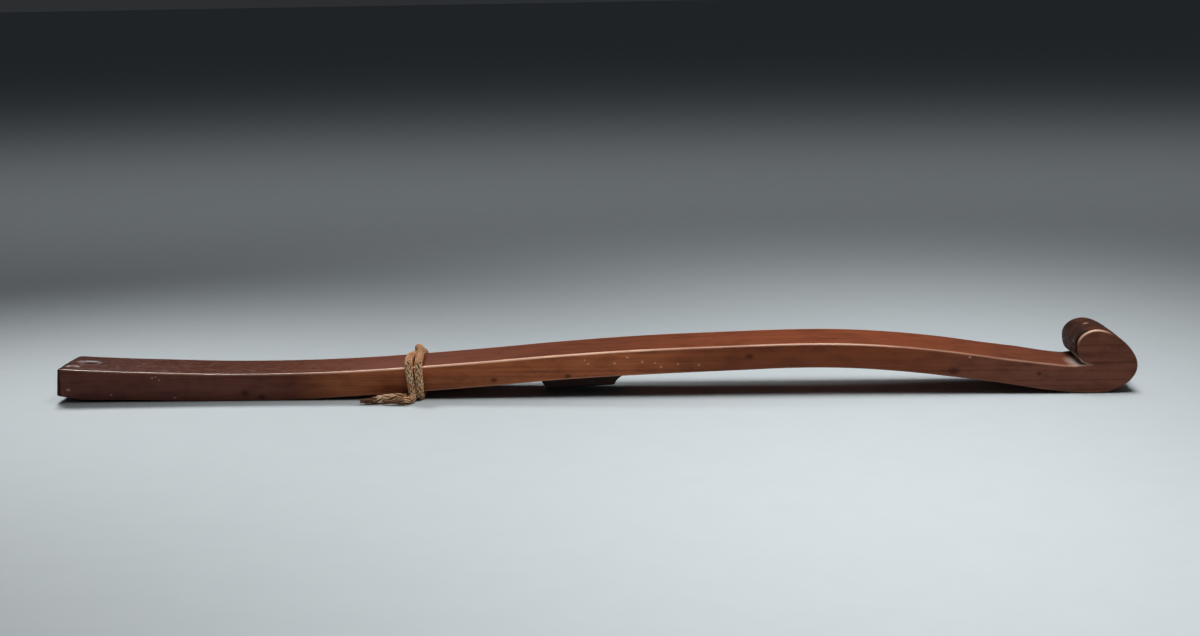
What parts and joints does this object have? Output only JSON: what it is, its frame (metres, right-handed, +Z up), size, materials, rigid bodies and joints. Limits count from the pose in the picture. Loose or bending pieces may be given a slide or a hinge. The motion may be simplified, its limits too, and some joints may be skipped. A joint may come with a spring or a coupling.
{
  "type": "ruyi sceptre",
  "caption": "Plain carved wooden ruyi sceptre with a long curved flat shaft, a rolled scroll head and a braided cord tied round the shaft, lying on its underside.",
  "frame": {"origin": "on the surface that the sceptre lies on, under the middle of its wood in length and width", "axes": "+X along the length from the tip to the scroll head, +Y across the width to the far side, +Z up"},
  "size_m": [0.45, 0.0444, 0.0267],
  "materials": {
    "carved_wood": "hand-rubbed satin polish on dark reddish hardwood, edges worn bright",
    "braided_cord": "dry tan braided cotton"
  },
  "bodies": {
    "root": {"sceptre_body": "carved_wood", "tied_cord": "braided_cord"}
  },
  "joints": []
}
